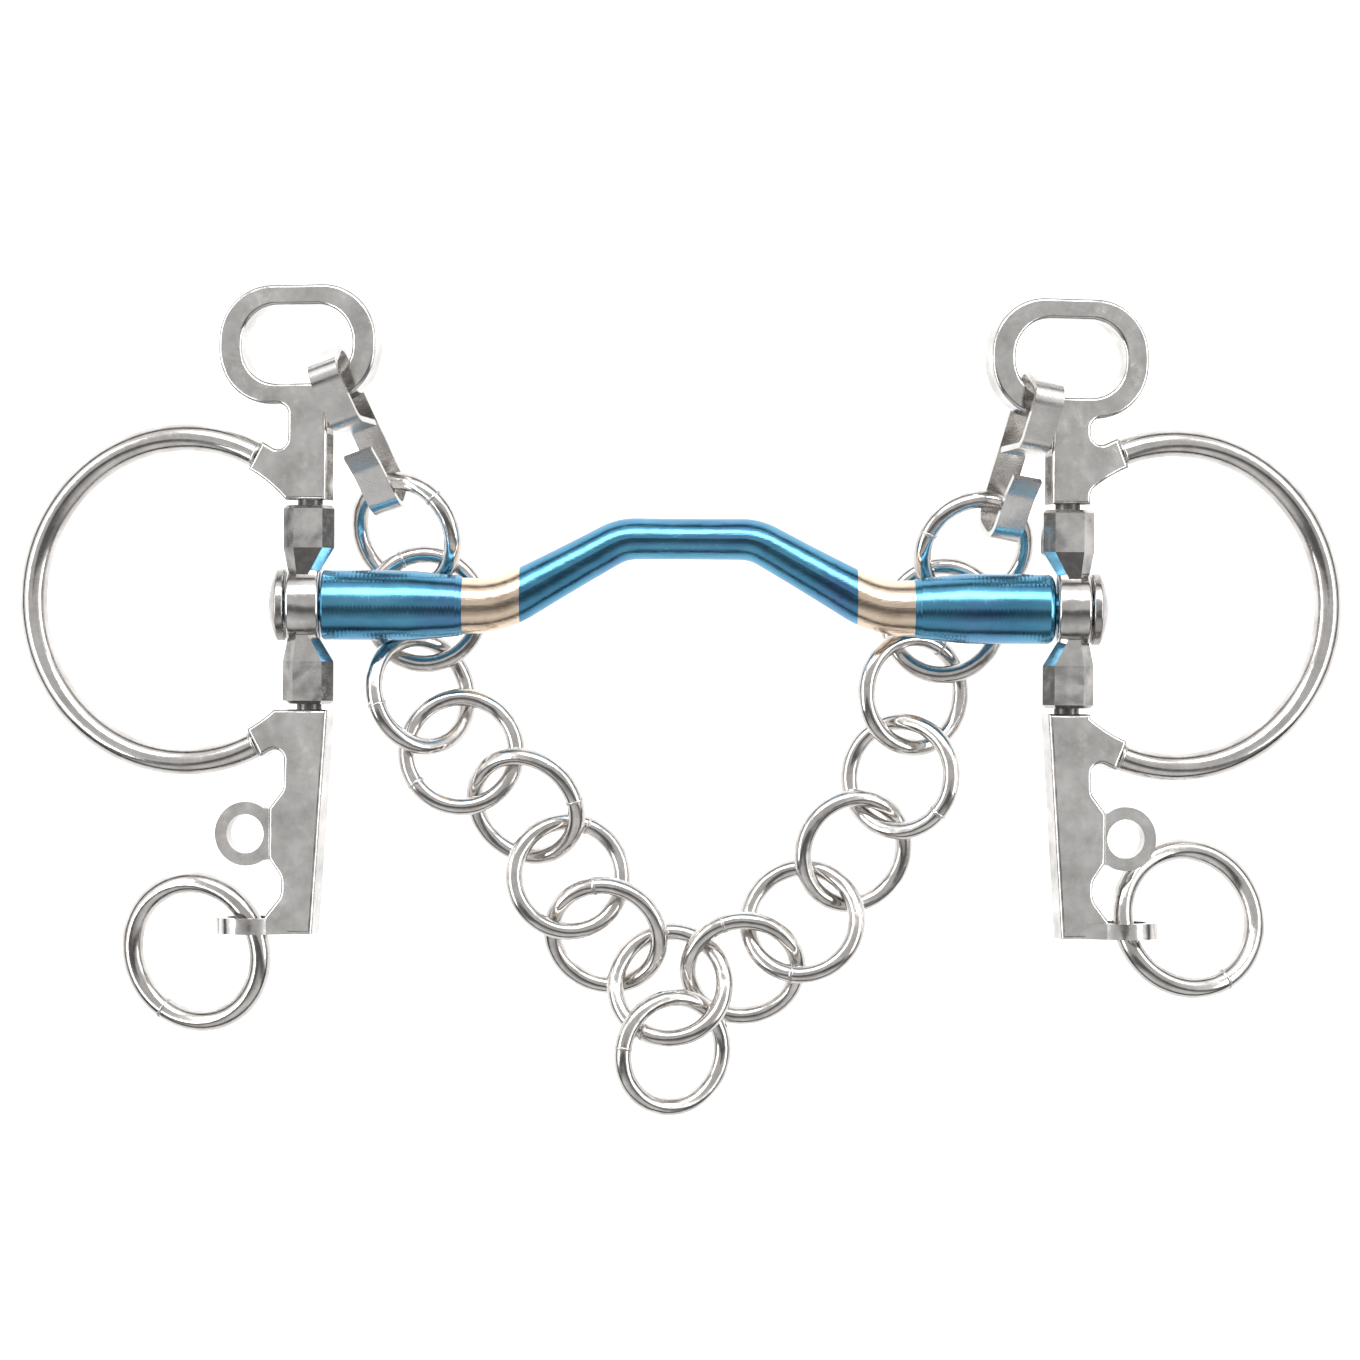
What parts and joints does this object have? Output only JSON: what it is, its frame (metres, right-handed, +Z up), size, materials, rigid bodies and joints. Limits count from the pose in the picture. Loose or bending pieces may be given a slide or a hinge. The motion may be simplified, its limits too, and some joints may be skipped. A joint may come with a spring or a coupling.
{
  "type": "curb bit",
  "caption": "Swivel-cheek ported curb bit with cheek rings, curb hooks, curb chain with fly ring and loose rein rings, lying flat.",
  "frame": {"origin": "middle of the mouthpiece, on the line of its two axle tenons", "axes": "+X along the mouthpiece, +Y up the cheeks towards the headstall eyes, +Z up from the table the bit lies on"},
  "size_m": [0.247, 0.153, 0.0242],
  "materials": {
    "blued_steel": "heat-blued, glossy, bright blue running to navy and teal",
    "blued_barrel": "heat-blued with fine turned lines",
    "bronze": "polished bronze",
    "rivet": "satin with fine scratches",
    "cast_steel": "polished casting with faint clouding",
    "ring_steel": "polished wire",
    "pin_steel": "turned",
    "hook_steel": "polished strip, softly worn",
    "chain_steel": "polished wire with small butt welds"
  },
  "bodies": {
    "mouthpiece": {"mouth_bar": "blued_steel", "left_inlay_band": "bronze", "right_inlay_band": "bronze", "left_barrel": "blued_barrel", "right_barrel": "blued_barrel", "left_rivet_head": "rivet", "right_rivet_head": "rivet"},
    "left_sleeve": {"left_swivel_sleeve": "cast_steel"},
    "right_sleeve": {"right_swivel_sleeve": "cast_steel"},
    "left_cheek": {"left_eye_cheek": "cast_steel", "left_shank": "cast_steel", "left_d_ring": "ring_steel", "left_upper_pin": "pin_steel", "left_lower_pin": "pin_steel"},
    "left_rein": {"left_rein_ring": "chain_steel"},
    "left_curb_hook": {"left_hook": "hook_steel"},
    "right_cheek": {"right_eye_cheek": "cast_steel", "right_shank": "cast_steel", "right_d_ring": "ring_steel", "right_upper_pin": "pin_steel", "right_lower_pin": "pin_steel"},
    "right_rein": {"right_rein_ring": "chain_steel"},
    "right_curb_hook": {"right_hook": "hook_steel"},
    "link_01": {"chain_link_01": "chain_steel"},
    "link_02": {"chain_link_02": "chain_steel"},
    "link_03": {"chain_link_03": "chain_steel"},
    "link_04": {"chain_link_04": "chain_steel"},
    "link_05": {"chain_link_05": "chain_steel"},
    "link_06": {"chain_link_06": "chain_steel"},
    "link_07": {"chain_link_07": "chain_steel"},
    "link_08": {"chain_link_08": "chain_steel"},
    "link_09": {"chain_link_09": "chain_steel"},
    "link_10": {"chain_link_10": "chain_steel"},
    "link_11": {"chain_link_11": "chain_steel"},
    "link_12": {"chain_link_12": "chain_steel"},
    "link_13": {"chain_link_13": "chain_steel"},
    "link_14": {"chain_link_14": "chain_steel"},
    "link_15": {"chain_link_15": "chain_steel"},
    "fly": {"fly_ring": "chain_steel"}
  },
  "joints": [
    {"name": "bit_turn", "type": "hinge", "parent": "mouthpiece", "child": "left_sleeve", "pos_m": [-0.07, 0, 0], "axis": [1, 0, 0], "range_deg": [-45, 45]},
    {"name": "right_sleeve_turn", "type": "hinge", "parent": "mouthpiece", "child": "right_sleeve", "pos_m": [0.07, 0, 0], "axis": [1, 0, 0], "range_deg": [-45, 45]},
    {"name": "cheek_swivel", "type": "hinge", "parent": "left_sleeve", "child": "left_cheek", "pos_m": [-0.0696, 0, 0], "axis": [0, 1, 0], "range_deg": [-6, 10]},
    {"name": "right_cheek_swivel", "type": "hinge", "parent": "right_sleeve", "child": "right_cheek", "pos_m": [0.0696, 0, 0], "axis": [0, 1, 0], "range_deg": [-10, 6]},
    {"name": "left_hook_turn", "type": "hinge", "parent": "left_cheek", "child": "left_curb_hook", "pos_m": [-0.064, 0.038, 0], "axis": [0, 1, 0], "range_deg": [-10, 6]},
    {"name": "right_hook_turn", "type": "hinge", "parent": "right_cheek", "child": "right_curb_hook", "pos_m": [0.064, 0.038, 0], "axis": [0, 1, 0], "range_deg": [-6, 10]},
    {"name": "chain_swing", "type": "hinge", "parent": "left_curb_hook", "child": "link_01", "pos_m": [-0.057, 0.0225, -0.005], "axis": [1, 0, 0], "range_deg": [0, 26]},
    {"name": "chain_swing_right", "type": "hinge", "parent": "right_curb_hook", "child": "link_15", "pos_m": [0.058, 0.0225, -0.005], "axis": [1, 0, 0], "range_deg": [0, 26]},
    {"name": "chain_curl", "type": "hinge", "parent": "link_01", "child": "link_02", "pos_m": [-0.05075, 0.007, -0.0075], "axis": [-1, 0, 0], "range_deg": [0, 4]},
    {"name": "fold_14", "type": "hinge", "parent": "link_15", "child": "link_14", "pos_m": [0.05025, 0.007, -0.0075], "axis": [-1, 0, 0], "range_deg": [0, 4]},
    {"name": "fold_03", "type": "hinge", "parent": "link_02", "child": "link_03", "pos_m": [-0.04925, -0.008, -0.0075], "axis": [-1, 0, 0], "range_deg": [0, 4]},
    {"name": "fold_13", "type": "hinge", "parent": "link_14", "child": "link_13", "pos_m": [0.04475, -0.008, -0.0075], "axis": [-1, 0, 0], "range_deg": [0, 4]},
    {"name": "fold_04", "type": "hinge", "parent": "link_03", "child": "link_04", "pos_m": [-0.04575, -0.022, -0.0075], "axis": [-1, 0, 0], "range_deg": [0, 4]},
    {"name": "fold_12", "type": "hinge", "parent": "link_13", "child": "link_12", "pos_m": [0.04075, -0.022, -0.0075], "axis": [-1, 0, 0], "range_deg": [0, 4]},
    {"name": "fold_05", "type": "hinge", "parent": "link_04", "child": "link_05", "pos_m": [-0.036, -0.0345, -0.0075], "axis": [-1, 0, 0], "range_deg": [0, 4]},
    {"name": "fold_11", "type": "hinge", "parent": "link_12", "child": "link_11", "pos_m": [0.03525, -0.0345, -0.0075], "axis": [-1, 0, 0], "range_deg": [0, 4]},
    {"name": "fold_06", "type": "hinge", "parent": "link_05", "child": "link_06", "pos_m": [-0.026, -0.047, -0.0075], "axis": [-1, 0, 0], "range_deg": [0, 4]},
    {"name": "fold_10", "type": "hinge", "parent": "link_11", "child": "link_10", "pos_m": [0.02625, -0.047, -0.0075], "axis": [-1, 0, 0], "range_deg": [0, 4]},
    {"name": "fold_07", "type": "hinge", "parent": "link_06", "child": "link_07", "pos_m": [-0.0185, -0.0585, -0.0075], "axis": [-1, 0, 0], "range_deg": [0, 4]},
    {"name": "fold_09", "type": "hinge", "parent": "link_10", "child": "link_09", "pos_m": [0.016, -0.0585, -0.0075], "axis": [-1, 0, 0], "range_deg": [0, 4]},
    {"name": "middle_link_lift", "type": "hinge", "parent": "link_07", "child": "link_08", "pos_m": [-0.009, -0.064, -0.006], "axis": [-1, 0, 0], "range_deg": [0, 18]},
    {"name": "fly_ring_swing", "type": "hinge", "parent": "link_08", "child": "fly", "pos_m": [-0.0025, -0.076, -0.005], "axis": [-1, 0, 0], "range_deg": [-3, 60]},
    {"name": "left_rein_ring_swing", "type": "hinge", "parent": "left_cheek", "child": "left_rein", "pos_m": [-0.08032, -0.05905, -0.00247], "axis": [0, 1, 0], "range_deg": [-60, 90]},
    {"name": "right_rein_ring_swing", "type": "hinge", "parent": "right_cheek", "child": "right_rein", "pos_m": [0.08032, -0.05905, -0.00247], "axis": [0, 1, 0], "range_deg": [-80, 60]}
  ],
  "couplings": [
    {"joint": "right_sleeve_turn", "follows": "bit_turn", "ratio": 1},
    {"joint": "right_cheek_swivel", "follows": "cheek_swivel", "ratio": -1},
    {"joint": "left_hook_turn", "follows": "cheek_swivel", "ratio": -1},
    {"joint": "right_hook_turn", "follows": "cheek_swivel", "ratio": 1},
    {"joint": "chain_swing_right", "follows": "chain_swing", "ratio": 1},
    {"joint": "fold_14", "follows": "chain_curl", "ratio": 1},
    {"joint": "fold_03", "follows": "chain_curl", "ratio": 1},
    {"joint": "fold_13", "follows": "chain_curl", "ratio": 1},
    {"joint": "fold_04", "follows": "chain_curl", "ratio": 1},
    {"joint": "fold_12", "follows": "chain_curl", "ratio": 1},
    {"joint": "fold_05", "follows": "chain_curl", "ratio": 1},
    {"joint": "fold_11", "follows": "chain_curl", "ratio": 1},
    {"joint": "fold_06", "follows": "chain_curl", "ratio": 1},
    {"joint": "fold_10", "follows": "chain_curl", "ratio": 1},
    {"joint": "fold_07", "follows": "chain_curl", "ratio": 1},
    {"joint": "fold_09", "follows": "chain_curl", "ratio": 1}
  ]
}
